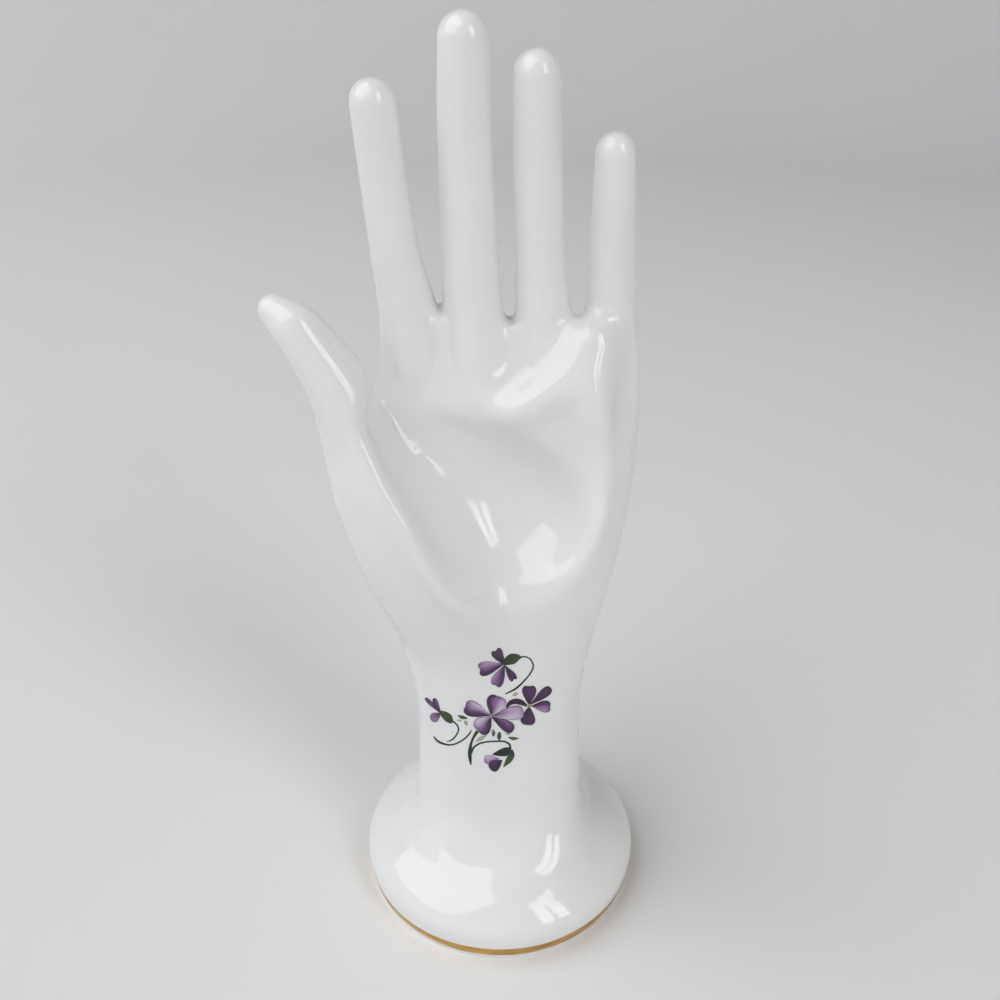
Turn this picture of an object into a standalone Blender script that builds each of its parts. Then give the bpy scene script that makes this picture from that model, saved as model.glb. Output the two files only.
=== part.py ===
# A porcelain hand on a round foot, for keeping rings and necklaces on.
# It is one slip-cast shell, hollow from the open underside up to the heel of the hand.
# Metres, +Z up, and the palm faces -Y. The origin is on the table, under the middle of the
# whole width. The sizes below are given from the middle of the foot.

from math import cos, pi, radians, sin

import bmesh
import bpy
import numpy as np
from mathutils import Matrix

# Sections from the table up to the knuckles, without the thumb. Each row is a height, then how
# far the section reaches to the left, to the right, to the palm side and to the back, and its
# squareness, where 2 is a true oval.
SECTIONS = (
    (0.0000, 0.0334, 0.0334, 0.0334, 0.0334, 2.0),
    (0.0035, 0.0343, 0.0343, 0.0343, 0.0343, 2.0),
    (0.0070, 0.0346, 0.0346, 0.0346, 0.0346, 2.0),
    (0.0092, 0.0341, 0.0341, 0.0341, 0.0341, 2.0),
    (0.0108, 0.0330, 0.0330, 0.0330, 0.0330, 2.0),
    (0.0122, 0.0314, 0.0314, 0.0314, 0.0314, 2.0),
    (0.0137, 0.0292, 0.0292, 0.0292, 0.0292, 2.0),
    (0.0152, 0.0268, 0.0268, 0.0268, 0.0268, 2.0),
    (0.0168, 0.0246, 0.0245, 0.0242, 0.0242, 2.0),
    (0.0186, 0.0228, 0.0226, 0.0217, 0.0217, 2.0),
    (0.0210, 0.0216, 0.0213, 0.0193, 0.0193, 2.1),
    (0.0240, 0.0210, 0.0206, 0.0174, 0.0174, 2.1),
    (0.0285, 0.0207, 0.0202, 0.0157, 0.0157, 2.2),
    (0.0350, 0.0204, 0.0199, 0.0147, 0.0147, 2.3),
    (0.0430, 0.0200, 0.0196, 0.0143, 0.0143, 2.3),
    (0.0510, 0.0200, 0.0194, 0.0141, 0.0141, 2.3),
    (0.0600, 0.0210, 0.0199, 0.0142, 0.0139, 2.3),
    (0.0690, 0.0230, 0.0212, 0.0147, 0.0136, 2.3),
    (0.0780, 0.0250, 0.0229, 0.0152, 0.0133, 2.3),
    (0.0880, 0.0268, 0.0250, 0.0155, 0.0128, 2.4),
    (0.1000, 0.0276, 0.0271, 0.0152, 0.0124, 2.4),
    (0.1120, 0.0272, 0.0286, 0.0138, 0.0117, 2.4),
    (0.1230, 0.0258, 0.0290, 0.0102, 0.0108, 2.4),
    (0.1310, 0.0249, 0.0287, 0.0066, 0.0096, 2.4),
    (0.1390, 0.0240, 0.0276, 0.0032, 0.0078, 2.4),
    (0.1480, 0.0222, 0.0250, 0.0014, 0.0058, 2.4),
)
# Height of the knuckles at the middle, and how much they fall for each metre to the right
KNUCKLE_HEIGHT = 0.1475
KNUCKLE_FALL = 0.09
KNUCKLE_ROUND = 0.0030

# Fingers: x, height and radius from inside the palm to the middle of the round tip
FINGERS = {
    "index": (
        (-0.0160, 0.1240, 0.0058),
        (-0.0175, 0.1400, 0.0065),
        (-0.0190, 0.1506, 0.0057),
        (-0.0206, 0.1600, 0.0049),
        (-0.0222, 0.1755, 0.0044),
        (-0.0231, 0.1879, 0.0043),
    ),
    "middle": (
        (-0.0042, 0.1240, 0.0058),
        (-0.0050, 0.1400, 0.0067),
        (-0.0056, 0.1506, 0.0061),
        (-0.0062, 0.1675, 0.0054),
        (-0.0066, 0.1860, 0.0050),
        (-0.0064, 0.1985, 0.0047),
    ),
    "ring": (
        (0.0096, 0.1240, 0.0056),
        (0.0092, 0.1400, 0.0063),
        (0.0085, 0.1506, 0.0056),
        (0.0079, 0.1600, 0.0050),
        (0.0072, 0.1755, 0.0048),
        (0.0067, 0.1926, 0.0044),
    ),
    "little": (
        (0.0222, 0.1240, 0.0050),
        (0.0226, 0.1400, 0.0056),
        (0.0224, 0.1506, 0.0050),
        (0.0221, 0.1600, 0.0047),
        (0.0217, 0.1716, 0.0042),
        (0.0214, 0.1792, 0.0038),
    ),
}
FINGER_BOW = 0.0020

# Thumb, from the heel of the hand to its tip: x, y, height and radius
THUMB = (
    (-0.0060, -0.0010, 0.0680, 0.0075),
    (-0.0135, -0.0045, 0.0860, 0.0112),
    (-0.0190, -0.0075, 0.1010, 0.0114),
    (-0.0242, -0.0092, 0.1150, 0.0100),
    (-0.0280, -0.0112, 0.1270, 0.0078),
    (-0.0313, -0.0130, 0.1387, 0.0061),
    (-0.0350, -0.0130, 0.1457, 0.0051),
    (-0.0390, -0.0128, 0.1507, 0.0042),
    (-0.0421, -0.0124, 0.1535, 0.0031),
)
# Ridge of the ball of the thumb, along the rim of the palm's hollow
RIDGE = (
    (-0.0313, -0.0134, 0.1387, 0.0055),
    (-0.0278, -0.0144, 0.1330, 0.0052),
    (-0.0225, -0.0150, 0.1220, 0.0048),
    (-0.0172, -0.0148, 0.1115, 0.0050),
    (-0.0105, -0.0128, 0.1010, 0.0052),
    (-0.0040, -0.0085, 0.0920, 0.0055),
)
# Balls rolled into the palm's front: from the web of the thumb, and from under the ring finger
HOLLOWS = (
    (
        (-0.0130, -0.0140, 0.1300, 0.0085),
        (-0.0065, -0.0190, 0.1215, 0.0130),
        (0.0020, -0.0235, 0.1110, 0.0175),
        (0.0025, -0.0260, 0.1030, 0.0165),
    ),
    (
        (0.0105, -0.0190, 0.1290, 0.0125),
        (0.0065, -0.0220, 0.1190, 0.0158),
        (0.0020, -0.0235, 0.1110, 0.0175),
    ),
)
# The middle of the foot lies this far to the right of the middle of the whole width, which
# reaches from the thumb's tip to the right edge of the foot.
FOOT_PLACE = (THUMB[-1][3] - THUMB[-1][0] - max(row[2] for row in SECTIONS)) / 2

# How far the joins are rounded
FINGER_BLEND = 0.0026
PALM_BLEND = 0.0040
THUMB_BLEND = 0.0065
RIDGE_BLEND = 0.0045
HOLLOW_BLEND = 0.0050

# Shell
WALL = 0.0026
CAVITY_TOP = 0.0890
CAVITY_DOME = 0.0170
SKIN_GRAIN = 0.0009
SKIN_SMOOTHING = 6
THUMB_EXCESS = 0.0010
SETTLE_ROUNDS = (12, 4)
SETTLE_PROBE = 0.0001
SETTLE_LIMIT = 0.0010
SKIN_TRIANGLES = 9600
RING_POINTS = 64
CAVITY_POINTS = 40
CURVE_STEPS = 4


def smooth_through(rows, steps=CURVE_STEPS):
    """Points on a smooth curve through the rows, steps of them from each row to the next."""
    rows = np.array(rows, float)
    slopes = np.gradient(rows, axis=0)
    t = np.linspace(0, 1, steps, endpoint=False)[:, None]
    stretches = [
        (2 * t**3 - 3 * t**2 + 1) * a
        + (t**3 - 2 * t**2 + t) * leave
        + (3 * t**2 - 2 * t**3) * b
        + (t**3 - t**2) * arrive
        for a, b, leave, arrive in zip(rows, rows[1:], slopes, slopes[1:])
    ]
    return np.vstack([*stretches, rows[-1:]])


def finger_path(rows):
    """Stations of a finger as x, y, height and radius, bowed a little to the back."""
    rows = np.array(rows)
    share = (rows[:, 1] - rows[0, 1]) / (rows[-1, 1] - rows[0, 1])
    bow = FINGER_BOW * np.sin(pi * share)
    return smooth_through(np.stack([rows[:, 0], bow, rows[:, 1], rows[:, 2]], axis=1))


def section_ring(row, count):
    """The corners of one section: a rounded oval whose four reaches differ."""
    z, left, right, front, back, square = row
    angle = np.linspace(0, 2 * pi, count, endpoint=False)
    across = np.sign(np.cos(angle)) * np.abs(np.cos(angle)) ** (2 / square)
    through = np.sign(np.sin(angle)) * np.abs(np.sin(angle)) ** (2 / square)
    x = np.where(across > 0, right, left) * across
    y = np.where(through > 0, back, front) * through
    return np.stack([x, y, np.full(count, z)], axis=1)


def lofted(rows, count):
    """A closed bmesh through the sections, from the lowest up."""
    mesh = bmesh.new()
    rings = [[mesh.verts.new(p) for p in section_ring(row, count)] for row in rows]
    for lower, upper in zip(rings, rings[1:]):
        for i in range(count):
            j = (i + 1) % count
            mesh.faces.new((lower[i], lower[j], upper[j], upper[i]))
    mesh.faces.new(reversed(rings[0]))
    mesh.faces.new(rings[-1])
    return mesh


def rounded_union(first, second, reach):
    """The lesser of two distances, with the join rounded over reach."""
    share = np.clip(0.5 + 0.5 * (second - first) / reach, 0, 1)
    return second + (first - second) * share - reach * share * (1 - share)


def distance_to_path(points, path):
    """How far the points lie outside a round limb along the path."""
    nearest = np.full(len(points), np.inf)
    for start, end in zip(path, path[1:]):
        along = end[:3] - start[:3]
        ahead = points - start[:3]
        share = np.clip(ahead @ along / (along @ along), 0, 1)
        gap = np.linalg.norm(ahead - share[:, None] * along, axis=1)
        nearest = np.minimum(nearest, gap - start[3] - share * (end[3] - start[3]))
    return nearest


def distance_to_body(points, rows):
    """How far the points lie outside the foot, wrist and palm."""
    x, y, z = points.T
    left, right, front, back, square = (np.interp(z, rows[:, 0], rows[:, i]) for i in range(1, 6))
    across = np.abs(x) / np.where(x > 0, right, left)
    through = np.abs(y) / np.where(y > 0, back, front)
    ratio = np.maximum((across**square + through**square) ** (1 / square), 1e-6)
    outside = np.hypot(x, y) * (1 - 1 / ratio)
    knuckles = KNUCKLE_HEIGHT - KNUCKLE_FALL * x
    return -rounded_union(-outside, knuckles - z, KNUCKLE_ROUND)


def distance_to_hand(points):
    """How far the points lie outside the whole hand, its limbs grown together and its palm hollowed."""
    fingers = np.full(len(points), np.inf)
    for rows in FINGERS.values():
        limb = distance_to_path(points, finger_path(rows))
        fingers = limb if np.isinf(fingers[0]) else rounded_union(fingers, limb, FINGER_BLEND)
    body = distance_to_body(points, smooth_through(SECTIONS))
    hand = rounded_union(body, fingers, PALM_BLEND)
    for rows, reach in ((THUMB, THUMB_BLEND), (RIDGE, RIDGE_BLEND)):
        limb = distance_to_path(points, smooth_through(rows))
        hand = rounded_union(hand, limb, reach)
    for rows in HOLLOWS:
        ball = distance_to_path(points, smooth_through(rows))
        hand = -rounded_union(-hand, ball, HOLLOW_BLEND)
    return hand


def settle(mesh, rounds):
    """Slides the corners of the mesh along their normals until they lie on the hand's surface.

    Each round first evens the corners out among their neighbours, and takes the normals anew.
    """
    count = len(mesh.vertices)
    ends = np.empty(len(mesh.edges) * 2, int)
    mesh.edges.foreach_get("vertices", ends)
    first, second = ends.reshape(-1, 2).T
    neighbours = np.bincount(np.concatenate([first, second]), minlength=count)
    points = np.empty(count * 3)
    normals = np.empty(count * 3)
    mesh.vertices.foreach_get("co", points)
    points = points.reshape(-1, 3)
    free = points[:, 2] > -SETTLE_LIMIT
    for _ in range(rounds):
        middle = np.stack(
            [
                np.bincount(first, points[second, axis], count)
                + np.bincount(second, points[first, axis], count)
                for axis in range(3)
            ],
            axis=1,
        )
        points[free] = (points[free] + middle[free] / neighbours[free, None]) / 2
        mesh.vertices.foreach_set("co", points.ravel())
        mesh.update()
        mesh.vertices.foreach_get("normal", normals)
        outward = normals.reshape(-1, 3)[free]
        here = distance_to_hand(points[free])
        probe = distance_to_hand(points[free] + outward * SETTLE_PROBE)
        rate = np.maximum((probe - here) / SETTLE_PROBE, 0.4)
        step = np.clip(-here / rate, -SETTLE_LIMIT, SETTLE_LIMIT)
        points[free] += outward * step[:, None]
    mesh.vertices.foreach_set("co", points.ravel())
    mesh.update()


def limb_curve(name, path):
    """A finger or the thumb: a bevelled curve along the path, closed with a round tip."""
    tip, radius = path[-1][:3], path[-1][3]
    ahead = tip - path[-2][:3]
    ahead /= np.linalg.norm(ahead)
    rows = [tuple(row) for row in path]
    for angle in np.linspace(0, pi / 2, 9)[1:]:
        place = tip + ahead * radius * sin(angle)
        rows.append((*place, max(radius * cos(angle), radius * 0.02)))
    curve = bpy.data.curves.new(name, "CURVE")
    curve.dimensions = "3D"
    curve.bevel_depth = 1.0
    curve.bevel_resolution = 8
    curve.use_fill_caps = True
    spline = curve.splines.new("POLY")
    spline.points.add(len(rows) - 1)
    for point, (x, y, z, r) in zip(spline.points, rows):
        point.co = (x, y, z, 1)
        point.radius = r
    return bpy.data.objects.new(name, curve)


def as_mesh(curve_object):
    """The curve's shape as a closed mesh."""
    bpy.context.scene.collection.objects.link(curve_object)
    graph = bpy.context.evaluated_depsgraph_get()
    mesh = bpy.data.meshes.new_from_object(curve_object.evaluated_get(graph))
    bpy.data.objects.remove(curve_object)
    return mesh


def one_skin(mesh):
    """The mesh made anew as one skin of even faces, its sharp joins softened."""
    shape = bpy.data.objects.new("one skin", mesh)
    bpy.context.scene.collection.objects.link(shape)
    remesh = shape.modifiers.new("even faces", "REMESH")
    remesh.mode = "VOXEL"
    remesh.voxel_size = SKIN_GRAIN
    soften = shape.modifiers.new("soften joins", "SMOOTH")
    soften.factor = 0.5
    soften.iterations = SKIN_SMOOTHING
    graph = bpy.context.evaluated_depsgraph_get()
    skin = bpy.data.meshes.new_from_object(shape.evaluated_get(graph))
    bpy.data.objects.remove(shape)
    return skin


def grown_skin():
    """The outside of the hand: body, fingers and thumb grown together into one smooth skin."""
    rows = smooth_through(SECTIONS)
    rows = np.vstack([[-WALL * 2, *rows[0][1:]], rows[rows[:, 0] < KNUCKLE_HEIGHT]])
    whole = lofted(rows, RING_POINTS)
    limbs = [limb_curve(name, finger_path(stations)) for name, stations in FINGERS.items()]
    # The thumb starts a little too thick, which keeps the crease beside it open.
    limbs.append(limb_curve("thumb", smooth_through(THUMB) + (0, 0, 0, THUMB_EXCESS)))
    for limb in limbs:
        whole.from_mesh(as_mesh(limb))
    bmesh.ops.remove_doubles(whole, verts=whole.verts, dist=0.00001)
    mesh = bpy.data.meshes.new("grown skin")
    whole.to_mesh(mesh)
    whole.free()
    for rounds in SETTLE_ROUNDS:
        mesh = one_skin(mesh)
        settle(mesh, rounds)
    return mesh


def glazed_white():
    """Glossy white porcelain."""
    material = bpy.data.materials.new("white porcelain")
    material.use_nodes = True
    shader = material.node_tree.nodes["Principled BSDF"]
    shader.inputs["Base Color"].default_value = (0.86, 0.86, 0.87, 1)
    shader.inputs["Roughness"].default_value = 0.08
    shader.inputs["Metallic"].default_value = 0.0
    return material


def cutter(name, mesh, collection):
    """A helper solid that cuts and isn't part of the object."""
    helper = bpy.data.objects.new(name, mesh)
    helper.hide_render = True
    helper.display_type = "WIRE"
    collection.objects.link(helper)
    return helper


def table_block():
    """A block that reaches from far below up to the table, wider than the foot."""
    block = bmesh.new()
    side = 4 * SECTIONS[0][1]
    bmesh.ops.create_cube(block, size=side)
    bmesh.ops.translate(block, verts=block.verts, vec=(0, 0, -side / 2))
    mesh = bpy.data.meshes.new("table")
    block.to_mesh(mesh)
    block.free()
    return mesh


def cavity_mesh():
    """The hollow inside: the sections moved in and down by the wall, with a dome on top."""
    rows = np.array(SECTIONS)
    rows[:, 1:5] -= WALL
    rows[:, 0] -= WALL
    rows = rows[rows[:, 0] < CAVITY_TOP - CAVITY_DOME]
    below = (-4 * WALL, *rows[0][1:])
    dome = []
    for angle in np.linspace(0, radians(80), 6):
        z = CAVITY_TOP - CAVITY_DOME + CAVITY_DOME * sin(angle)
        dome.append((z, *(rows[-1][1:5] * cos(angle)), rows[-1][5]))
    inside = lofted([below, *rows, *dome], CAVITY_POINTS)
    mesh = bpy.data.meshes.new("cavity")
    inside.to_mesh(mesh)
    inside.free()
    return mesh


def main():
    for old in list(bpy.data.objects):
        bpy.data.objects.remove(old)
    parts = bpy.data.collections.new("porcelain hand")
    helpers = bpy.data.collections.new("cutters")
    for collection in (parts, helpers):
        bpy.context.scene.collection.children.link(collection)

    hand = bpy.data.objects.new("porcelain_hand", grown_skin())
    parts.objects.link(hand)
    hand.data.materials.clear()
    hand.data.materials.append(glazed_white())
    thin = hand.modifiers.new("fewer faces", "DECIMATE")
    thin.ratio = SKIN_TRIANGLES / (2 * len(hand.data.polygons))
    for name, mesh in (("table", table_block()), ("cavity", cavity_mesh())):
        cut = hand.modifiers.new(name, "BOOLEAN")
        cut.operation = "DIFFERENCE"
        cut.object = cutter(name, mesh, helpers)
    for shape in (hand, *helpers.objects):
        shape.data.transform(Matrix.Translation((FOOT_PLACE, 0, 0)))
    hand.data.shade_smooth()


main()
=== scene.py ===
from math import cos, pi, radians, sin

import bpy
import numpy as np
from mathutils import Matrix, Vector


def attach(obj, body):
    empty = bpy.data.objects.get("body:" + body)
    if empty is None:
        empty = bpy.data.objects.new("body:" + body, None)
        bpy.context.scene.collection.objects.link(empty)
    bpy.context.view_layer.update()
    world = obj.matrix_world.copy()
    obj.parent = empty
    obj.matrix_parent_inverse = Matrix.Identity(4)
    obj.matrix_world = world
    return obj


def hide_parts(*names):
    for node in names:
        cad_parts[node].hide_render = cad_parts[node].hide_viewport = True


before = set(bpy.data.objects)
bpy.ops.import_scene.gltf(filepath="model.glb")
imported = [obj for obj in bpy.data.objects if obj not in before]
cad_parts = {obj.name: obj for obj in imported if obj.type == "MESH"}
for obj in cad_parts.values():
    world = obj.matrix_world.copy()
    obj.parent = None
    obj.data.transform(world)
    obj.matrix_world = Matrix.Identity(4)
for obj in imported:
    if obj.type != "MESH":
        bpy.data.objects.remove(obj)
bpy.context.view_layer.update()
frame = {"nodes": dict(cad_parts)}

print("frame loaded:", ", ".join(frame["nodes"]))

# every size below is in metres from the middle of the foot, which stands this far right of the origin
footPlace = 0.0053
sharpFrom = radians(50)  # faces that meet at more than this keep a sharp edge


# smooth curve through rows: a cubic in so many steps between each two, with slopes from the neighbours
def smoothThrough(rows, steps):
    rows = np.array(rows, float)
    slopes = np.gradient(rows, axis=0)
    t = np.linspace(0, 1, steps, endpoint=False)[:, None, None]
    a, b = rows[:-1], rows[1:]
    leave, arrive = slopes[:-1], slopes[1:]
    between = ((2 * t**3 - 3 * t**2 + 1) * a + (t**3 - 2 * t**2 + t) * leave
               + (3 * t**2 - 2 * t**3) * b + (t**3 - t**2) * arrive)
    return np.vstack([between.transpose(1, 0, 2).reshape(-1, rows.shape[1]), rows[-1:]])


# four-cornered faces between neighbours of a grid; around joins its last column to its first, and over its
# last row to its first
def gridFaces(rows, columns, around=False, over=False):
    index = np.arange(rows * columns).reshape(rows, columns)
    if around:
        index = np.column_stack([index, index[:, :1]])
    if over:
        index = np.vstack([index, index[:1]])
    return np.stack([index[:-1, :-1], index[:-1, 1:], index[1:, 1:], index[1:, :-1]], axis=-1).reshape(-1, 4)


# mesh from an array of points and one of faces, whose columns are their corners
def meshFrom(name, points, faces):
    mesh = bpy.data.meshes.new(name)
    mesh.vertices.add(len(points))
    mesh.vertices.foreach_set("co", points.astype(np.float32).ravel())
    mesh.loops.add(faces.size)
    mesh.loops.foreach_set("vertex_index", faces.astype(np.int32).ravel())
    mesh.polygons.add(len(faces))
    mesh.polygons.foreach_set("loop_start", np.arange(0, faces.size, faces.shape[1], dtype=np.int32))
    mesh.update(calc_edges=True)
    return mesh


# what a mesh keeps at its points, such as co or normal, as an array of x, y, z
def atPoints(mesh, what):
    flat = np.empty(len(mesh.vertices) * 3, np.float32)
    mesh.vertices.foreach_get(what, flat)
    return flat.reshape(-1, 3).astype(float)


# a mesh's points moved to the places in an array
def movePoints(mesh, points):
    mesh.vertices.foreach_set("co", points.astype(np.float32).ravel())
    mesh.update()


# object at the origin that shows a mesh
def pieceFrom(name, mesh):
    piece = bpy.data.objects.new(name, mesh)
    bpy.context.scene.collection.objects.link(piece)
    return piece


# the mesh that an object's modifiers give, with the modifiers used up
def finished(piece):
    graph = bpy.context.evaluated_depsgraph_get()
    mesh = bpy.data.meshes.new_from_object(piece.evaluated_get(graph))
    piece.modifiers.clear()
    old = piece.data
    piece.data = mesh
    bpy.data.meshes.remove(old)
    return mesh


# the hand's surface, kept as a distance to it
hand = {
    # height, reach to the left, to the right, to the palm side and to the back, squareness
    "sections": (
        (0.0000, 0.0334, 0.0334, 0.0334, 0.0334, 2.0),
        (0.0035, 0.0343, 0.0343, 0.0343, 0.0343, 2.0),
        (0.0070, 0.0346, 0.0346, 0.0346, 0.0346, 2.0),
        (0.0092, 0.0341, 0.0341, 0.0341, 0.0341, 2.0),
        (0.0109, 0.0330, 0.0330, 0.0330, 0.0330, 2.0),
        (0.0125, 0.0314, 0.0314, 0.0314, 0.0314, 2.0),
        (0.0141, 0.0293, 0.0293, 0.0293, 0.0293, 2.0),
        (0.0155, 0.0270, 0.0270, 0.0270, 0.0270, 2.1),
        (0.0169, 0.0248, 0.0247, 0.0245, 0.0245, 2.3),
        (0.0184, 0.0231, 0.0229, 0.0222, 0.0222, 2.7),
        (0.0203, 0.0218, 0.0215, 0.0201, 0.0201, 3.0),
        (0.0230, 0.0211, 0.0207, 0.0181, 0.0181, 3.0),
        (0.0268, 0.0208, 0.0203, 0.0164, 0.0164, 2.9),
        (0.0320, 0.0205, 0.0200, 0.0153, 0.0153, 2.8),
        (0.0430, 0.0200, 0.0196, 0.0143, 0.0143, 2.6),
        (0.0510, 0.0200, 0.0194, 0.0141, 0.0141, 2.5),
        (0.0600, 0.0210, 0.0199, 0.0143, 0.0139, 2.4),
        (0.0690, 0.0230, 0.0212, 0.0150, 0.0136, 2.3),
        (0.0780, 0.0250, 0.0229, 0.0161, 0.0133, 2.3),
        (0.0880, 0.0268, 0.0250, 0.0173, 0.0128, 2.4),
        (0.1000, 0.0276, 0.0271, 0.0173, 0.0124, 2.4),
        (0.1120, 0.0272, 0.0286, 0.0148, 0.0117, 2.4),
        (0.1230, 0.0258, 0.0290, 0.0102, 0.0108, 2.4),
        (0.1310, 0.0249, 0.0287, 0.0060, 0.0096, 2.4),
        (0.1390, 0.0240, 0.0276, 0.0020, 0.0078, 2.4),
        (0.1480, 0.0222, 0.0250, 0.0008, 0.0058, 2.4),
    ),
    "knuckleHeight": 0.1458,
    "knuckleFall": 0.09,
    "knuckleRound": 0.0030,
    # x, height and radius of each finger, from inside the palm to the middle of its tip
    "fingers": (
        ((-0.0160, 0.1240, 0.0058), (-0.0175, 0.1400, 0.0065), (-0.0190, 0.1506, 0.0057),
         (-0.0206, 0.1600, 0.0049), (-0.0222, 0.1755, 0.0044), (-0.0231, 0.1879, 0.0043)),
        ((-0.0042, 0.1240, 0.0058), (-0.0050, 0.1400, 0.0067), (-0.0056, 0.1506, 0.0061),
         (-0.0062, 0.1675, 0.0054), (-0.0066, 0.1860, 0.0050), (-0.0064, 0.1985, 0.0047)),
        ((0.0096, 0.1240, 0.0056), (0.0092, 0.1400, 0.0063), (0.0085, 0.1506, 0.0056),
         (0.0079, 0.1600, 0.0050), (0.0072, 0.1755, 0.0048), (0.0067, 0.1926, 0.0044)),
        ((0.0222, 0.1240, 0.0050), (0.0226, 0.1400, 0.0056), (0.0224, 0.1506, 0.0050),
         (0.0221, 0.1600, 0.0047), (0.0217, 0.1716, 0.0042), (0.0214, 0.1792, 0.0038)),
    ),
    "fingerBow": 0.0032,
    "bowLean": 0.7,
    # x, y, height and radius, as in the next two lists
    "thumb": (
        (-0.0060, -0.0010, 0.0680, 0.0075), (-0.0135, -0.0066, 0.0850, 0.0112),
        (-0.0190, -0.0102, 0.1000, 0.0114), (-0.0242, -0.0108, 0.1144, 0.0100),
        (-0.0281, -0.0100, 0.1261, 0.0078), (-0.0316, -0.0110, 0.1377, 0.0061),
        (-0.0354, -0.0110, 0.1447, 0.0051), (-0.0394, -0.0108, 0.1497, 0.0042),
        (-0.0425, -0.0104, 0.1525, 0.0031),
    ),
    # crests of the palm: along the thumb, under the ring finger and along the little finger's side
    "ridges": (
        ((-0.0379, -0.0122, 0.1497, 0.0024), (-0.0348, -0.0130, 0.1436, 0.0026),
         (-0.0296, -0.0137, 0.1354, 0.0036), (-0.0236, -0.0158, 0.1214, 0.0046),
         (-0.0167, -0.0178, 0.1107, 0.0050), (-0.0100, -0.0189, 0.0996, 0.0054),
         (-0.0070, -0.0160, 0.0920, 0.0060), (-0.0050, -0.0108, 0.0830, 0.0062)),
        ((0.0010, -0.0048, 0.1265, 0.0045), (0.0085, -0.0049, 0.1315, 0.0045),
         (0.0140, -0.0038, 0.1370, 0.0042), (0.0180, -0.0018, 0.1425, 0.0038)),
        ((0.0182, -0.0010, 0.1420, 0.0045), (0.0182, -0.0044, 0.1340, 0.0048),
         (0.0178, -0.0074, 0.1250, 0.0050), (0.0166, -0.0106, 0.1120, 0.0052),
         (0.0135, -0.0104, 0.1010, 0.0058), (0.0100, -0.0070, 0.0920, 0.0064)),
    ),
    # balls rolled through the palm
    "hollows": (
        ((-0.0180, -0.0134, 0.1312, 0.0080), (-0.0078, -0.0164, 0.1215, 0.0127),
         (0.0024, -0.0200, 0.1125, 0.0162), (0.0038, -0.0246, 0.1070, 0.0157)),
        ((0.0120, -0.0255, 0.1230, 0.0170), (0.0070, -0.0232, 0.1170, 0.0166),
         (0.0024, -0.0200, 0.1125, 0.0162)),
    ),
    "fingerBlend": 0.0018,
    "palmBlend": 0.0028,
    "thumbBlend": 0.0045,
    "ridgeBlend": 0.0050,
    "hollowBlend": 0.0046,
    # steps from one row of the lists above to the next
    "bodySteps": 10,
    "fingerSteps": 4,
    "thumbSteps": 9,
    "ridgeSteps": 8,
    "hollowSteps": 10,
}


# finger stations as x, y, height, radius: y = bow * sin(pi * s^lean) at the share s of the finger's height
def fingerPath(rows):
    rows = np.array(rows)
    share = (rows[:, 1] - rows[0, 1]) / (rows[-1, 1] - rows[0, 1])
    back = hand["fingerBow"] * np.sin(pi * share**hand["bowLean"])
    return smoothThrough(np.stack([rows[:, 0], back, rows[:, 1], rows[:, 2]], axis=1), hand["fingerSteps"])


bodyRows = smoothThrough(hand["sections"], hand["bodySteps"])
fingerPaths = [fingerPath(rows) for rows in hand["fingers"]]
thumbPath = smoothThrough(hand["thumb"], hand["thumbSteps"])
ridgePaths = [smoothThrough(rows, hand["ridgeSteps"]) for rows in hand["ridges"]]
hollowPaths = [smoothThrough(rows, hand["hollowSteps"]) for rows in hand["hollows"]]


# lesser of two distances, less reach * s * (1 - s), where s goes from 0 to 1 as they cross over
def roundedUnion(first, second, reach):
    s = np.clip(0.5 + 0.5 * (second - first) / reach, 0, 1)
    return second + (first - second) * s - reach * s * (1 - s)


# least over the stretches of a path: distance to the line less the radius there
def distanceToPath(points, path):
    nearest = np.full(len(points), np.inf)
    for start, end in zip(path, path[1:]):
        along = end[:3] - start[:3]
        ahead = points - start[:3]
        share = np.clip(ahead @ along / (along @ along), 0, 1)
        gap = np.linalg.norm(ahead - share[:, None] * along, axis=1)
        nearest = np.minimum(nearest, gap - start[3] - share * (end[3] - start[3]))
    return nearest


# superellipse at each height: ratio = (|x/a|^n + |y/b|^n)^(1/n), distance = r * (1 - 1 / ratio), cut off
# above with a rounded edge by a plane that falls to the little finger
def distanceToBody(points):
    x, y, z = points.T
    left, right, front, back, square = (np.interp(z, bodyRows[:, 0], column) for column in bodyRows.T[1:])
    across = np.abs(x) / np.where(x > 0, right, left)
    through = np.abs(y) / np.where(y > 0, back, front)
    ratio = np.maximum((across**square + through**square) ** (1 / square), 1e-6)
    outside = np.hypot(x, y) * (1 - 1 / ratio)
    knuckles = hand["knuckleHeight"] - hand["knuckleFall"] * x
    return -roundedUnion(-outside, knuckles - z, hand["knuckleRound"])


# body, fingers, thumb and crests grown together with rounded joins, less the balls in the palm
def distanceToHand(points):
    fingers = distanceToPath(points, fingerPaths[0])
    for path in fingerPaths[1:]:
        fingers = roundedUnion(fingers, distanceToPath(points, path), hand["fingerBlend"])
    whole = roundedUnion(distanceToBody(points), fingers, hand["palmBlend"])
    whole = roundedUnion(whole, distanceToPath(points, thumbPath), hand["thumbBlend"])
    for path in ridgePaths:
        whole = roundedUnion(whole, distanceToPath(points, path), hand["ridgeBlend"])
    for path in hollowPaths:
        whole = -roundedUnion(-whole, distanceToPath(points, path), hand["hollowBlend"])
    return whole


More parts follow.
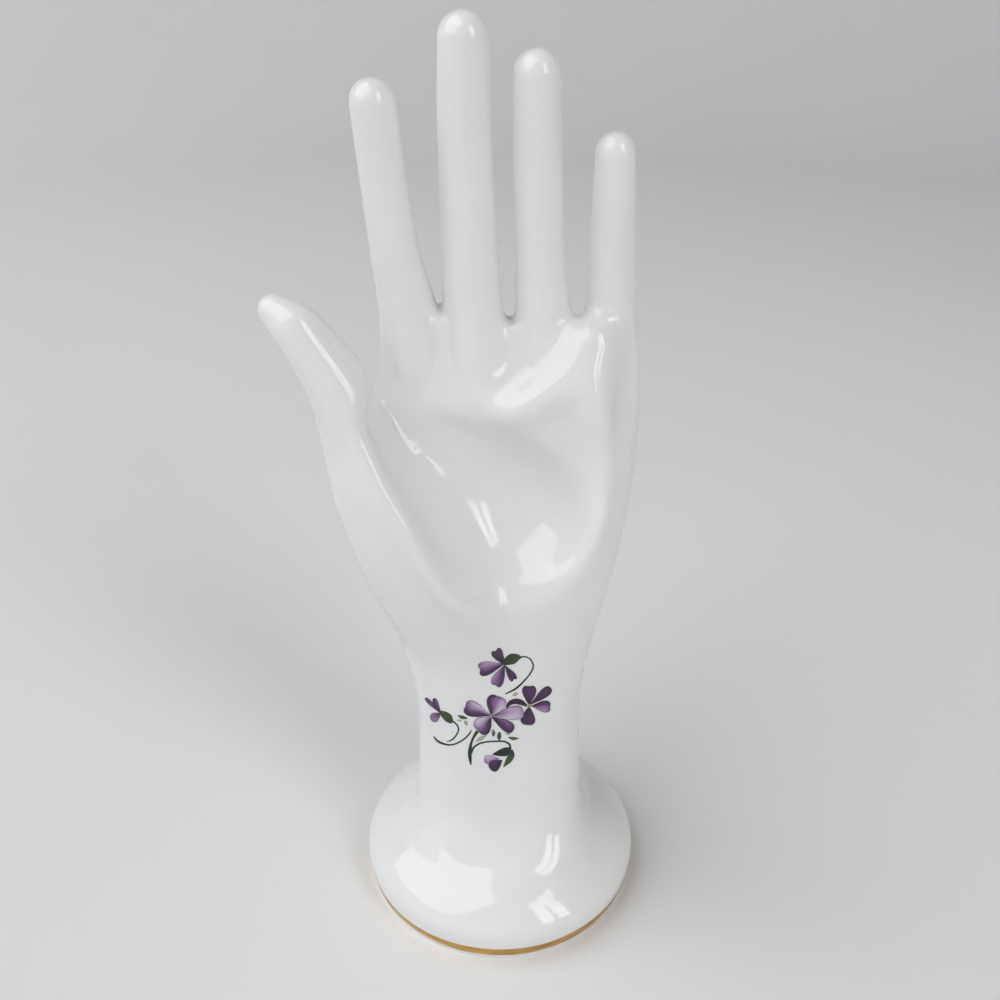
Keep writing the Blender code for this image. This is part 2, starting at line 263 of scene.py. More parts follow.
# how the porcelain piece is made from that surface
porcelain = {
    "grain": 0.00072,  # width of the skin's faces
    "rounds": (12, 5),  # settling rounds for the first skin and for the second
    "probe": 0.0001,
    "leastRate": 0.4,
    "stepLimit": 0.0010,
    "softening": 6,
    "thumbExcess": 0.0010,  # the first shape's thumb is this much thicker, so that the skin holds it
    "skirt": 0.0052,  # the first shape reaches this far below the table, until it is cut flat
    "wall": 0.0026,
    "cavityTop": 0.0890,
    "cavityDome": 0.0170,
    "domeSweep": 85,
    "domeRings": 9,
    "cavitySteps": 2,
    "tipRings": 9,
    # points around each shape
    "bodyPoints": 96,
    "limbPoints": 24,
    "cavityPoints": 72,
    "tablePoints": 64,
}


# closed surface through sections: x = reach * sign(cos) * |cos|^(2/n), y alike with sin; its ends are drawn
# to a point
def lofted(rows, count):
    rows = np.asarray(rows)
    rows = np.vstack([rows[:1], rows, rows[-1:]])
    angle = np.linspace(0, 2 * pi, count, endpoint=False)[None, :]
    power = 2 / rows[:, 5:6]
    across = np.sign(np.cos(angle)) * np.abs(np.cos(angle)) ** power
    through = np.sign(np.sin(angle)) * np.abs(np.sin(angle)) ** power
    x = np.where(across > 0, rows[:, 2:3], rows[:, 1:2]) * across
    y = np.where(through > 0, rows[:, 4:5], rows[:, 3:4]) * through
    x[[0, -1]] = 0
    y[[0, -1]] = 0
    points = np.stack([x, y, np.broadcast_to(rows[:, :1], x.shape)], axis=-1)
    return points.reshape(-1, 3), gridFaces(len(rows), count, around=True)


# round limb: point = station + radius * (side * cos + other * sin), both square to the path, and its far end
# closes in a half ball
def limb(path):
    count = porcelain["limbPoints"]
    tip = path[-1]
    ahead = tip[:3] - path[-2][:3]
    ahead /= np.linalg.norm(ahead)
    angle = np.linspace(0, pi / 2, porcelain["tipRings"])[1:, None]
    dome = np.hstack([tip[:3] + ahead * tip[3] * np.sin(angle), tip[3] * np.cos(angle)])
    rows = np.vstack([path[:1] * (1, 1, 1, 0), path, dome])
    centre, radius = rows[:, :3], np.maximum(rows[:, 3], 0)
    heading = np.gradient(centre, axis=0)
    heading[0] = heading[1]
    heading /= np.linalg.norm(heading, axis=1, keepdims=True)
    side = np.cross(heading, (0.0, 1.0, 0.0))
    side /= np.linalg.norm(side, axis=1, keepdims=True)
    other = np.cross(heading, side)
    turn = np.linspace(0, 2 * pi, count, endpoint=False)[None, :, None]
    spoke = np.cos(turn) * side[:, None] + np.sin(turn) * other[:, None]
    points = centre[:, None] + radius[:, None, None] * spoke
    return points.reshape(-1, 3), gridFaces(len(rows), count, around=True)


# several shapes as one array of points and one of faces; each shape's faces count on from the points before
def joined(shapes):
    counts = np.cumsum([0] + [len(points) for points, faces in shapes])
    points = np.vstack([points for points, faces in shapes])
    faces = np.vstack([faces + start for (grid, faces), start in zip(shapes, counts)])
    return points, faces


# one skin of even faces over everything inside
def oneSkin(mesh):
    shape = pieceFrom("skin", mesh)
    even = shape.modifiers.new("even faces", "REMESH")
    even.mode = "VOXEL"
    even.voxel_size = porcelain["grain"]
    soften = shape.modifiers.new("soften joins", "SMOOTH")
    soften.factor = 0.5
    soften.iterations = porcelain["softening"]
    skin = finished(shape)
    bpy.data.objects.remove(shape)
    return skin


# each round: point = mean of itself and its neighbours' middle, then a Newton step along its normal to
# distance 0
def settle(mesh, rounds):
    ends = np.empty(len(mesh.edges) * 2, np.int32)
    mesh.edges.foreach_get("vertices", ends)
    first, second = ends.reshape(-1, 2).T
    points = atPoints(mesh, "co")
    count = len(points)
    neighbours = np.bincount(ends, minlength=count)[:, None]
    limit = porcelain["stepLimit"]
    free = points[:, 2] > -limit
    for turn in range(rounds):
        total = np.stack([np.bincount(first, points[second, k], count)
                          + np.bincount(second, points[first, k], count) for k in range(3)], axis=1)
        points[free] = (points[free] + (total / neighbours)[free]) / 2
        movePoints(mesh, points)
        outward = atPoints(mesh, "normal")[free]
        here = distanceToHand(points[free])
        there = distanceToHand(points[free] + outward * porcelain["probe"])
        rate = np.maximum((there - here) / porcelain["probe"], porcelain["leastRate"])
        points[free] += outward * np.clip(-here / rate, -limit, limit)[:, None]
    movePoints(mesh, points)


# rows with the first one repeated at a height below the table
def reachingDown(rows, height):
    below = rows[:1].copy()
    below[0, 0] = height
    return np.vstack([below, rows])


# hollow inside: the sections moved in and down by the wall, closed above by a quarter of an ellipse
def cavity():
    rows = smoothThrough(hand["sections"], porcelain["cavitySteps"])
    rows[:, :5] -= porcelain["wall"]
    spring = porcelain["cavityTop"] - porcelain["cavityDome"]
    rows = rows[rows[:, 0] < spring]
    angle = np.linspace(0, radians(porcelain["domeSweep"]), porcelain["domeRings"])[:, None]
    dome = np.hstack([spring + porcelain["cavityDome"] * np.sin(angle), rows[-1:, 1:5] * np.cos(angle),
                      np.full_like(angle, rows[-1, 5])])
    rows = np.vstack([reachingDown(rows, -2 * porcelain["skirt"]), dome])
    return lofted(rows, porcelain["cavityPoints"])


# block from far below up to the table: superellipses much wider than the foot, almost square
def tableBlock():
    side, squareness = 4 * hand["sections"][0][1], 40.0
    rows = [(height, side, side, side, side, squareness) for height in (-side, 0.0)]
    return lofted(rows, porcelain["tablePoints"])


# what lies inside the shapes taken away from a piece
def cutAway(piece, shapes):
    helpers = [pieceFrom(name, meshFrom(name, *shape)) for name, shape in shapes.items()]
    for helper in helpers:
        cut = piece.modifiers.new(helper.name, "BOOLEAN")
        cut.operation = "DIFFERENCE"
        cut.solver = "EXACT"
        cut.object = helper
    mesh = finished(piece)
    for helper in helpers:
        bpy.data.objects.remove(helper)
    return mesh


# sections, fingers and thumb put together, made one skin, settled on the distance surface, then cut flat and
# hollow
def makeHand():
    rows = bodyRows[bodyRows[:, 0] < hand["knuckleHeight"]]
    shapes = [lofted(reachingDown(rows, -porcelain["skirt"]), porcelain["bodyPoints"])]
    shapes += [limb(path) for path in fingerPaths]
    shapes.append(limb(thumbPath + (0, 0, 0, porcelain["thumbExcess"])))
    mesh = meshFrom("hand", *joined(shapes))
    for rounds in porcelain["rounds"]:
        mesh = oneSkin(mesh)
        settle(mesh, rounds)
    piece = pieceFrom("hand", mesh)
    mesh = cutAway(piece, {"table": tableBlock(), "cavity": cavity()})
    movePoints(mesh, atPoints(mesh, "co") + (footPlace, 0, 0))
    mesh.shade_smooth()
    mesh.set_sharp_from_angle(angle=sharpFrom)
    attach(piece, "root")
    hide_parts("porcelain_hand")
    print("hand:", len(mesh.polygons), "faces")
    return piece


# gold line just above the foot's lower edge
goldLine = {
    "low": 0.0012,
    "high": 0.0041,
    "film": 0.00006,
    "edgePower": 6,
    "sunk": 0.00020,
    "waver": 0.00010,
    # share of the waver, waves round the foot and where they start
    "lowWaves": ((1.0, 3, 0.7), (0.5, 11, 2.1)),
    "highWaves": ((1.0, 2, 4.0), (0.7, 7, 1.3)),
    "around": 360,
    "across": 10,
}


# an edge of the line at each angle: its height, wavering by a sum of sines
def wavering(edge, angle):
    waves = goldLine[edge + "Waves"]
    return goldLine[edge] + goldLine["waver"] * sum(part * np.sin(count * angle + start)
                                                    for part, count, start in waves)


# film round the foot, share s of its height up and angle along: radius = the foot's reach there +
# film * (1 - (2s - 1)^edgePower)
def makeGoldLine():
    angle = np.linspace(0, 2 * pi, goldLine["around"], endpoint=False)[None, :]
    share = np.linspace(0, 1, goldLine["across"])[:, None]
    low, high = wavering("low", angle), wavering("high", angle)
    z = low + (high - low) * share
    reach = np.interp(z, bodyRows[:, 0], bodyRows[:, 1])
    outer = reach + goldLine["film"] * (1 - (2 * share - 1) ** goldLine["edgePower"])
    inner = (reach - goldLine["sunk"])[::-1]
    radius = np.vstack([outer, inner])
    z = np.vstack([z, z[::-1]])
    points = np.stack([footPlace + radius * np.cos(angle), radius * np.sin(angle), z], axis=-1)
    mesh = meshFrom("goldLine", points.reshape(-1, 3), gridFaces(*z.shape, around=True, over=True))
    mesh.shade_smooth()
    mesh.set_sharp_from_angle(angle=sharpFrom)
    piece = pieceFrom("goldLine", mesh)
    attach(piece, "root")
    print("gold line:", len(mesh.polygons), "faces")
    return piece


# the photo's camera, in metres, degrees and millimetres
view = {"x": 0.0, "y": -0.1935, "z": 0.2093, "pitch": 62.0, "lens": 36.0, "sensor": 36.0}

# how the violet spray is drawn; its places are thousandths of the picture across and down
spray = {
    "middle": 500,
    "whole": 1000,
    # sight lines start this far from the camera and go on by a share of the distance left, in so many turns
    "sightStart": 0.20,
    "sightPace": 0.8,
    "sightTurns": 20,
    "petalOut": 16,
    "petalAcross": 33,
    "notchWidth": 0.28,
    "streakSpread": 40,
    "ribbonSteps": 10,
    "ribbonAcross": 7,
    "leastHalf": 0.02,
    "shapeShift": 3.7,
}


# walks each sight line on by its distance to the hand until it lies lift above the glaze
def onTheWrist(across, down, lift):
    tilt = radians(view["pitch"])
    slope = view["sensor"] / view["lens"]
    right = slope * (across - spray["middle"]) / spray["whole"]
    up = slope * (spray["middle"] - down) / spray["whole"]
    ray = np.stack([right, np.sin(tilt) + up * np.cos(tilt), -np.cos(tilt) + up * np.sin(tilt)], axis=1)
    ray /= np.linalg.norm(ray, axis=1, keepdims=True)
    eye = np.array((view["x"], view["y"], view["z"]))
    far = np.full(len(ray), spray["sightStart"])
    for turn in range(spray["sightTurns"]):
        far += spray["sightPace"] * (distanceToHand(eye + ray * far[:, None]) - lift)
    return eye + ray * far[:, None]


# petal from its hub to its tip: at angle v * spread it is (1 - |v|^full)^(1/full) of its length, less the
# notch at v = 0; tone is its shade at the two sides, base and rim are added at the hub and along the edge
def petal(hub, tip, spread=40, notch=0.0, full=2.4, skew=0.0, tone=(0.5, 0.5), base=0.5, rim=0.3, level=0):
    u = np.linspace(0, 1, spray["petalOut"])[:, None]
    v = np.linspace(-1, 1, spray["petalAcross"])[None, :]
    hub, tip = np.array(hub, float), np.array(tip, float)
    length = np.linalg.norm(tip - hub)
    axis = np.arctan2(*(tip - hub)[::-1])
    reach = length * (1 - np.abs(v) ** full) ** (1 / full) * (1 + skew * v)
    reach = reach * (1 - notch * np.exp(-(v / spray["notchWidth"]) ** 2))
    angle = axis + radians(spread) * v
    across = hub[0] + u * reach * np.cos(angle)
    down = hub[1] + u * reach * np.sin(angle)
    left, right = tone
    shade = left + (right - left) * (0.5 + 0.5 * np.sin(v * pi / 2))
    shade = shade + base * (1 - u) ** 2 + rim * (u ** 8 + np.abs(v) ** 6 * u)
    streak = np.broadcast_to(v * spread / spray["streakSpread"], across.shape)
    return across, down, shade, streak, np.broadcast_to(u, across.shape), level


# ribbon along a smooth path: each point = path + half width * v, square to the path; its shade goes evenly
# from tone's first value to its second
def ribbon(path, widths, tone=(0.5, 0.5), level=0):
    rows = smoothThrough(np.column_stack([np.array(path, float), widths]), spray["ribbonSteps"])
    heading = np.gradient(rows[:, :2], axis=0)
    heading /= np.linalg.norm(heading, axis=1, keepdims=True)
    v = np.linspace(-1, 1, spray["ribbonAcross"])[None, :]
    u = np.linspace(0, 1, len(rows))[:, None]
    half = np.maximum(rows[:, 2:3], spray["leastHalf"])
    across = rows[:, :1] - heading[:, 1:2] * half * v
    down = rows[:, 1:2] + heading[:, :1] * half * v
    start, end = tone
    shade = start + (end - start) * u + 0 * v
    return across, down, shade, np.broadcast_to(v, across.shape), np.broadcast_to(u, across.shape), level


# lift above the glaze, step from level to level, thickness, colours by shade and strength of the streaks
blooms = {
    "lift": 0.00003,
    "layer": 0.00002,
    "thick": 0.00012,
    "colours": ((0.0, (0.60, 0.51, 0.64)), (0.35, (0.29, 0.165, 0.33)), (0.7, (0.085, 0.026, 0.11)),
                (1.0, (0.022, 0.005, 0.032))),
    "streaking": 0.5,
    "shapes": (
        # dark flower at the right
        ribbon(((506.5, 708), (509.5, 703.6), (515, 701.4), (521, 702.4), (527, 706)),
               (0.8, 2.1, 2.7, 2.7, 1.2), tone=(1.15, 1.0)),
        petal((529.5, 705.5), (529.2, 685), spread=33, notch=0.06, full=3.0, tone=(0.85, 0.7), base=0.3,
              rim=0.15, level=1),
        petal((530, 705), (551, 688), spread=17, full=2.6, tone=(0.7, 0.85), base=0.35, rim=0.25, level=2),
        petal((531, 706), (551.5, 707), spread=29, notch=0.07, full=2.6, tone=(0.75, 0.1), base=0.5,
              rim=0.4, level=3),
        petal((529, 706.5), (527.5, 725.5), spread=37, notch=0.02, full=3.0, tone=(0.75, 0.85), base=0.35,
              rim=0.2, level=4),
        # pale flower in the middle
        petal((491, 716), (464, 706), spread=26, notch=0.05, full=2.8, tone=(0.85, -0.1), base=0.45,
              rim=0.4, level=5),
        petal((491.5, 715.5), (499, 695.5), spread=46, notch=0.06, full=2.9, skew=0.02, tone=(0.75, -0.15),
              base=0.4, rim=0.4, level=6),
        petal((492, 717), (513.5, 730.5), spread=22, full=2.6, tone=(0.45, 0.85), base=0.4, rim=0.3, level=7),
        petal((491, 717.5), (477, 731.5), spread=47, notch=0.06, full=2.9, tone=(0.8, -0.15), base=0.45,
              rim=0.4, level=8),
        petal((492.5, 716), (524, 712), spread=21, notch=0.02, full=2.7, tone=(0.1, -0.05), base=0.6,
              rim=0.35, level=9),
        # nodding flower at the top
        petal((504, 664.5), (494.5, 649), spread=30, notch=0.14, full=2.9, tone=(0.9, 0.75), base=0.3,
              rim=0.1, level=2),
        petal((504, 664.5), (477.5, 670.5), spread=25, notch=0.10, full=2.8, tone=(0.85, 0.1), base=0.4,
              rim=0.25, level=3),
        petal((504.5, 665), (494.8, 686.8), spread=25, notch=0.07, full=2.8, tone=(0.75, 0.25), base=0.4,
              rim=0.1, level=4),
        petal((505.5, 666), (515, 681), spread=22, notch=0.12, full=2.8, tone=(0.8, 0.8), base=0.3,
              rim=0.1, level=5),
        # bud at the left
        petal((440.5, 713.5), (425, 698), spread=10, full=2.2, tone=(0.5, 0.85), base=0.4, rim=0.25, level=2),
        petal((440.5, 713), (433.5, 698.5), spread=16, full=2.4, tone=(0.9, 0.45), base=0.4, rim=0.2,
              level=3),
        petal((441, 713), (431, 720), spread=38, full=2.8, tone=(0.35, 0.5), base=0.5, rim=0.15, level=4),
        # bud below
        petal((499, 758.5), (484, 760), spread=30, full=2.6, tone=(0.3, 0.0), base=0.3, rim=0.25, level=2),
        petal((502, 760), (490, 769), spread=38, full=2.8, tone=(0.95, 0.75), base=0.2, rim=0.2, level=3),
    ),
}

greens = {
    "lift": 0.00002,
    "layer": 0.00001,
    "thick": 0.00012,
    "colours": ((0.0, (0.36, 0.40, 0.31)), (0.4, (0.055, 0.085, 0.028)), (0.8, (0.014, 0.026, 0.006)),
                (1.0, (0.004, 0.009, 0.002))),
    "streaking": 0.35,
    "shapes": (
        # stems
        ribbon(((520, 657.2), (525, 656.8), (530, 659), (533.2, 665), (531.5, 671.5), (525, 680),
                (516, 688.5), (505.5, 694)),
               (0.9, 0.7, 0.7, 0.8, 0.8, 0.8, 1.0, 0.6), tone=(0.6, 0.9)),
        ribbon(((452, 720.5), (457, 725), (458.5, 730), (456, 735.5), (451, 740.5), (446.5, 741.3)),
               (0.9, 0.8, 0.8, 0.8, 0.7, 0.3), tone=(0.7, 0.7)),
        ribbon(((433.5, 736.5), (438, 741.3), (445, 744.3), (451.5, 744.8), (458, 742.8), (465, 738.3),
                (469.5, 733.5), (471.5, 730)),
               (0.5, 1.1, 1.0, 0.8, 0.8, 0.8, 0.8, 0.5), tone=(0.9, 0.8)),
        ribbon(((477.5, 731), (473.5, 737.5), (471, 744), (469.8, 752.5), (470.3, 760), (471, 765)),
               (1.8, 1.2, 1.3, 2.0, 1.5, 0.5), tone=(0.8, 1.0)),
        ribbon(((471, 753.5), (473.5, 748), (478, 744.3), (486, 742), (497, 741.3), (505, 741.7),
                (509.7, 745), (510.3, 750)),
               (1.1, 1.0, 0.9, 0.8, 0.8, 0.9, 1.0, 1.1), tone=(0.8, 0.8)),
        ribbon(((499.3, 741.5), (499.3, 738)), (0.6, 0.9), tone=(0.8, 0.8)),
        # calyxes and leaves
        ribbon(((503.5, 664.5), (508, 661), (513, 658.8), (518, 657.5), (521, 657.6)),
               (1.4, 4.4, 5.2, 3.2, 0.8), tone=(0.85, 0.5), level=2),
        ribbon(((440.3, 711.5), (444, 714.5), (448, 718), (451, 721.5), (452.5, 722.5)),
               (1.2, 3.4, 4.2, 2.6, 0.4), tone=(0.5, 0.8), level=2),
        ribbon(((492.5, 754.5), (499, 753.3), (505, 752), (511, 750.5)),
               (0.4, 3.0, 4.2, 3.4), tone=(1.1, 0.9), level=2),
        ribbon(((510, 750.5), (511.5, 755), (508.5, 760.5), (503.5, 767)),
               (2.6, 3.0, 3.0, 0.4), tone=(0.8, 0.35), level=3),
        ribbon(((457.5, 715.5), (462, 717.3), (467.5, 718.5)), (0.3, 1.8, 0.5), tone=(0.4, 0.5), level=1),
        ribbon(((456.5, 720), (459, 720.6), (462, 721)), (0.2, 1.0, 0.2), tone=(0.0, 0.0), level=1),
        ribbon(((464, 721), (466, 723), (467.5, 725.5)), (0.5, 1.9, 0.3), tone=(0.05, 0.0), level=1),
        ribbon(((493.2, 729.5), (493.5, 733), (493.3, 736.5)), (0.7, 1.9, 0.5), tone=(0.2, 0.5), level=1),
        ribbon(((499.5, 732), (499.2, 736), (499, 740)), (0.9, 2.2, 0.9), tone=(0.4, 0.65), level=1),
        ribbon(((505, 733.8), (508, 734), (511, 734.4)), (0.2, 0.8, 0.2), tone=(0.1, 0.1), level=1),
        ribbon(((508, 737.3), (513.5, 738.6), (519, 738.3)), (0.3, 1.7, 0.3), tone=(0.4, 0.35), level=1),
        ribbon(((512.5, 695.5), (515.5, 694.3), (518, 693)), (0.4, 1.8, 0.4), tone=(-0.1, -0.1), level=1),
        ribbon(((476, 741.5), (481, 738.5), (487, 735)), (0.4, 2.0, 0.4), tone=(-0.35, -0.35), level=1),
    ),
}

centres = {
    "lift": 0.00003,
    "layer": 0.00002,
    "thick": 0.00012,
    "colours": ((0.0, (0.62, 0.50, 0.40)), (1.0, (0.25, 0.14, 0.12))),
    "streaking": 0.4,
    "shapes": (
        petal((490.3, 716), (492.3, 716.3), spread=120, full=4.0, base=0.0, level=10),
        petal((529, 705.7), (531, 706.2), spread=120, full=4.0, base=0.0, level=10),
    ),
}


# film of printed colour: each shape laid on the wrist, its shade and streaks kept at its points
def makePrint(name, settings):
    grids, shades, streaks = [], [], []
    for across, down, shade, streak, along, level in settings["shapes"]:
        lift = settings["lift"] + settings["layer"] * level
        points = onTheWrist(across.ravel(), down.ravel(), lift) + (footPlace, 0, 0)
        grids.append((points, gridFaces(*across.shape)))
        shades.append(shade.ravel())
        place = (streak.ravel() + spray["shapeShift"] * len(grids), along.ravel(), 0 * along.ravel())
        streaks.append(np.stack(place, axis=1))
    mesh = meshFrom(name, *joined(grids))
    shadeKept = mesh.attributes.new("shade", "FLOAT", "POINT")
    shadeKept.data.foreach_set("value", np.concatenate(shades).astype(np.float32))
    streakKept = mesh.attributes.new("streak", "FLOAT_VECTOR", "POINT")
    streakKept.data.foreach_set("vector", np.vstack(streaks).astype(np.float32).ravel())
    piece = pieceFrom(name, mesh)
    film = piece.modifiers.new("film", "SOLIDIFY")
    film.thickness = settings["thick"]
    film.offset = -1
    mesh.shade_smooth()
    mesh = finished(piece)
    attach(piece, "root")
    print(name + ":", len(mesh.polygons), "faces")
    return piece


# a node's inputs, each linked to a socket or set to a value
def feed(tree, node, inputs):
    for name, value in inputs.items():
        if isinstance(value, bpy.types.NodeSocket):
            tree.links.new(value, node.inputs[name])
        else:
            node.inputs[name].default_value = value


# one shader node with its settings and its inputs
def addNode(tree, kind, inputs=None, **settings):
    node = tree.nodes.new(kind)
    for name, value in settings.items():
        setattr(node, name, value)
    feed(tree, node, inputs or {})
    return node


# colour ramp over a factor, through the stops given as place and colour
def ramp(tree, factor, stops):
    node = tree.nodes.new("ShaderNodeValToRGB")
    tree.links.new(factor, node.inputs["Fac"])
    while len(node.color_ramp.elements) < len(stops):
        node.color_ramp.elements.new(0.5)
    for element, (place, colour) in zip(node.color_ramp.elements, stops):
        element.position = place
        element.color = (*colour, 1)
    return node.outputs["Color"]


# material with its tree and its shader
def newMaterial(name):
    material = bpy.data.materials.new(name)
    material.use_nodes = True
    return material, material.node_tree, material.node_tree.nodes["Principled BSDF"]


# group with the glaze's ripple height, its roughness and its slow change of tone
def glazeGroup():
    group = bpy.data.node_groups.new("glaze", "ShaderNodeTree")
    for name in ("Height", "Roughness", "Tone"):
        group.interface.new_socket(name, in_out="OUTPUT", socket_type="NodeSocketFloat")
    place = addNode(group, "ShaderNodeTexCoord").outputs["Object"]
    broad = addNode(group, "ShaderNodeTexNoise",
                    {"Vector": place, "Scale": 55.0, "Detail": 1.5, "Roughness": 0.4})
    fine = addNode(group, "ShaderNodeTexNoise",
                   {"Vector": place, "Scale": 420.0, "Detail": 2.0, "Roughness": 0.5})
    height = addNode(group, "ShaderNodeMath", {0: fine.outputs["Fac"], 1: 0.10, 2: broad.outputs["Fac"]},
                     operation="MULTIPLY_ADD")
    rough = addNode(group, "ShaderNodeMapRange", {"Value": fine.outputs["Fac"], "From Min": 0.3,
                                                  "From Max": 0.7, "To Min": 0.045, "To Max": 0.095})
    slow = addNode(group, "ShaderNodeTexNoise",
                   {"Vector": place, "Scale": 28.0, "Detail": 3.0, "Roughness": 0.55})
    addNode(group, "NodeGroupOutput", {"Height": height.outputs[0], "Roughness": rough.outputs["Result"],
                                       "Tone": slow.outputs["Fac"]})
    return group


glaze = {"group": glazeGroup(), "rippleDepth": 0.00022, "refraction": 1.52}


# glaze over the material: its roughness and its ripple reach the shader
def addGlaze(tree, shader):
    skin = addNode(tree, "ShaderNodeGroup", node_tree=glaze["group"])
    bump = addNode(tree, "ShaderNodeBump", {"Height": skin.outputs["Height"], "Strength": 1.0,
                                            "Distance": glaze["rippleDepth"]})
    feed(tree, shader, {"Normal": bump.outputs["Normal"], "Roughness": skin.outputs["Roughness"],
                        "IOR": glaze["refraction"]})
    return skin


# white body under clear glaze: its tone drifts a little and a few tiny specks show
def porcelainMaterial():
    material, tree, shader = newMaterial("whitePorcelain")
    skin = addGlaze(tree, shader)
    place = addNode(tree, "ShaderNodeTexCoord").outputs["Object"]
    tone = ramp(tree, skin.outputs["Tone"], ((0.30, (0.79, 0.795, 0.80)), (0.70, (0.845, 0.84, 0.83))))
    cells = addNode(tree, "ShaderNodeTexVoronoi", {"Vector": place, "Scale": 62.0, "Randomness": 1.0},
                    feature="F1")
    speck = addNode(tree, "ShaderNodeMapRange", {"Value": cells.outputs["Distance"], "From Min": 0.008,
                                                 "From Max": 0.016, "To Min": 1.0, "To Max": 0.0})
    rare = addNode(tree, "ShaderNodeSeparateColor", {"Color": cells.outputs["Color"]})
    chosen = addNode(tree, "ShaderNodeMath", {0: rare.outputs["Red"], 1: 0.90}, operation="GREATER_THAN")
    speck = addNode(tree, "ShaderNodeMath", {0: speck.outputs["Result"], 1: chosen.outputs[0]},
                    operation="MULTIPLY")
    speck = addNode(tree, "ShaderNodeMath", {0: speck.outputs[0], 1: 0.45}, operation="MULTIPLY")
    colour = addNode(tree, "ShaderNodeMix",
                     {"Factor": speck.outputs[0], "A": tone, "B": (0.20, 0.17, 0.14, 1)}, data_type="RGBA")
    feed(tree, shader, {"Base Color": colour.outputs["Result"], "Subsurface Weight": 0.12,
                        "Subsurface Radius": (0.0022, 0.0020, 0.0018), "Subsurface Scale": 1.0})
    return material


# burnished gold with fine streaks drawn round the foot
def goldMaterial():
    material, tree, shader = newMaterial("agedGold")
    place = addNode(tree, "ShaderNodeTexCoord").outputs["Object"]
    drawn = addNode(tree, "ShaderNodeMapping", {"Vector": place, "Scale": (160.0, 160.0, 1600.0)})
    streak = addNode(tree, "ShaderNodeTexNoise",
                     {"Vector": drawn.outputs["Vector"], "Scale": 1.0, "Detail": 4.0, "Roughness": 0.6})
    colour = ramp(tree, streak.outputs["Fac"],
                  ((0.25, (0.34, 0.19, 0.04)), (0.5, (0.58, 0.35, 0.085)), (0.8, (0.80, 0.56, 0.19))))
    rough = addNode(tree, "ShaderNodeMapRange", {"Value": streak.outputs["Fac"], "From Min": 0.2,
                                                 "From Max": 0.8, "To Min": 0.42, "To Max": 0.24})
    bump = addNode(tree, "ShaderNodeBump",
                   {"Height": streak.outputs["Fac"], "Strength": 0.5, "Distance": 0.00006})
    feed(tree, shader, {"Base Color": colour, "Roughness": rough.outputs["Result"],
                        "Normal": bump.outputs["Normal"], "Metallic": 0.85})
    return material


# printed colour: the shade kept at the points picks the colour, and noise drawn out along each petal
# streaks it
def printMaterial(name, settings):
    material, tree, shader = newMaterial(name)
    addGlaze(tree, shader)
    shade = addNode(tree, "ShaderNodeAttribute", attribute_name="shade")
    lines = addNode(tree, "ShaderNodeAttribute", attribute_name="streak")
    drawn = addNode(tree, "ShaderNodeMapping", {"Vector": lines.outputs["Vector"], "Scale": (6.0, 1.2, 1.0)})
    noise = addNode(tree, "ShaderNodeTexNoise",
                    {"Vector": drawn.outputs["Vector"], "Scale": 1.0, "Detail": 3.0, "Roughness": 0.6})
    centred = addNode(tree, "ShaderNodeMath", {0: noise.outputs["Fac"], 1: 0.5}, operation="SUBTRACT")
    mixed = addNode(tree, "ShaderNodeMath", {0: centred.outputs[0], 1: settings["streaking"],
                                             2: shade.outputs["Fac"]}, operation="MULTIPLY_ADD")
    feed(tree, shader, {"Base Color": ramp(tree, mixed.outputs[0], settings["colours"])})
    return material


handPiece = makeHand()
handPiece.data.materials.clear()
handPiece.data.materials.append(porcelainMaterial())

goldPiece = makeGoldLine()
goldPiece.data.materials.append(goldMaterial())

for pieceName, materialName, settings in (("violetBlooms", "violetPrint", blooms),
                                          ("violetStems", "stemPrint", greens),
                                          ("violetCentres", "centrePrint", centres)):
    printed = makePrint(pieceName, settings)
    printed.data.materials.append(printMaterial(materialName, settings))
print("violets laid on the wrist")

# round pale floor, two window panes at the right and one soft light at the left
studio = {
    "floorRings": (0.0, 0.3, 0.7),
    "floorReach": 1.1,
    "wallReach": 1.9,
    "wallHeight": 0.85,
    "floorPoints": 96,
    "bendRings": 16,
    "floorColour": (0.84, 0.84, 0.835),
    "floorDrift": 0.985,  # its darker patches are this share as bright
    "worldColour": (0.93, 0.95, 1.0),
    "worldStrength": 0.12,
    # name, degrees to the right of the front, degrees above the floor, distance, width, height, watts,
    # degrees that its light spreads over, colour
    "lamps": (
        ("windowLeftPane", 35.5, 30, 1.5, 0.22, 1.25, 1.15, 100, (1.0, 0.99, 0.97)),
        ("windowRightPane", 47.5, 30, 1.5, 0.22, 1.25, 1.15, 100, (1.0, 0.99, 0.97)),
        ("softBox", -72.0, 50, 2.2, 2.50, 2.50, 43.0, 180, (0.97, 0.98, 1.0)),
    ),
    "aim": (footPlace, 0.0, 0.08),
}


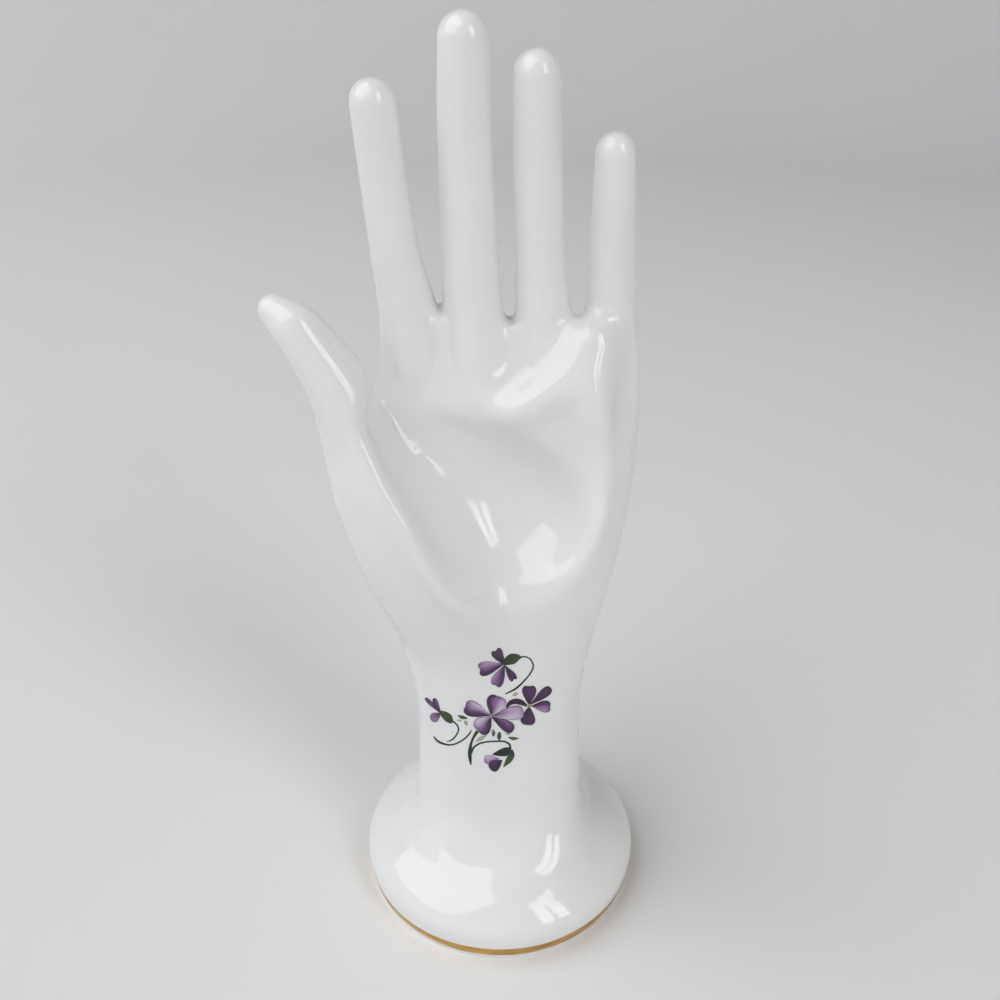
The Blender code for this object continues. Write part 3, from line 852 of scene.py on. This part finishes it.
# bowl round the hand: flat to floorReach, then a quarter circle up into a wall
def makeFloor():
    rings, reach, wall = studio["floorRings"], studio["floorReach"], studio["wallReach"]
    angle = np.linspace(0, 2 * pi, studio["floorPoints"], endpoint=False)[None, :]
    bend = np.linspace(0, pi / 2, studio["bendRings"])
    curve = wall - reach
    radius = np.concatenate([rings, reach + curve * np.sin(bend), [wall]])[:, None]
    rise = curve * (1 - np.cos(bend))
    height = np.concatenate([np.zeros(len(rings)), rise, [studio["wallHeight"]]])[:, None]
    points = np.stack([radius * np.cos(angle), radius * np.sin(angle), height + 0 * angle], axis=-1)
    faces = gridFaces(len(radius), studio["floorPoints"], around=True)
    mesh = meshFrom("floor", points.reshape(-1, 3), faces)
    mesh.shade_smooth()
    piece = pieceFrom("floor", mesh)
    material, tree, shader = newMaterial("paleFloor")
    place = addNode(tree, "ShaderNodeTexCoord").outputs["Object"]
    noise = addNode(tree, "ShaderNodeTexNoise", {"Vector": place, "Scale": 6.0, "Detail": 3.0})
    pale = studio["floorColour"]
    darker = tuple(part * studio["floorDrift"] for part in pale)
    tone = ramp(tree, noise.outputs["Fac"], ((0.3, darker), (0.7, pale)))
    feed(tree, shader, {"Base Color": tone, "Roughness": 0.85, "Specular IOR Level": 0.1})
    mesh.materials.append(material)


# each lamp stands at its turn and rise from the aim point and faces it; the sky adds a weak even light
def makeLamps():
    aim = Vector(studio["aim"])
    for name, turn, rise, distance, width, height, watts, spread, colour in studio["lamps"]:
        lamp = bpy.data.lights.new(name, "AREA")
        lamp.shape = "RECTANGLE"
        lamp.size = width
        lamp.size_y = height
        lamp.energy = watts
        lamp.spread = radians(spread)
        lamp.color = colour
        holder = bpy.data.objects.new(name, lamp)
        bpy.context.scene.collection.objects.link(holder)
        turn, rise = radians(turn), radians(rise)
        holder.location = aim + distance * Vector((cos(rise) * sin(turn), -cos(rise) * cos(turn), sin(rise)))
        holder.rotation_euler = (aim - holder.location).to_track_quat("-Z", "Y").to_euler()
    world = bpy.data.worlds.new("studio")
    bpy.context.scene.world = world
    world.use_nodes = True
    sky = world.node_tree.nodes["Background"]
    feed(world.node_tree, sky, {"Color": (*studio["worldColour"], 1), "Strength": studio["worldStrength"]})


# camera of the photo, as solved from the foot's rim
def makeCamera():
    lens = bpy.data.cameras.new("camera")
    lens.lens = view["lens"]
    lens.sensor_width = view["sensor"]
    lens.clip_start = 0.01
    camera = bpy.data.objects.new("camera", lens)
    bpy.context.scene.collection.objects.link(camera)
    camera.location = (view["x"] + footPlace, view["y"], view["z"])
    camera.rotation_euler = (radians(view["pitch"]), 0, 0)
    bpy.context.scene.camera = camera


makeFloor()
makeLamps()
makeCamera()
bpy.context.scene.view_settings.view_transform = "Standard"
print("studio ready")
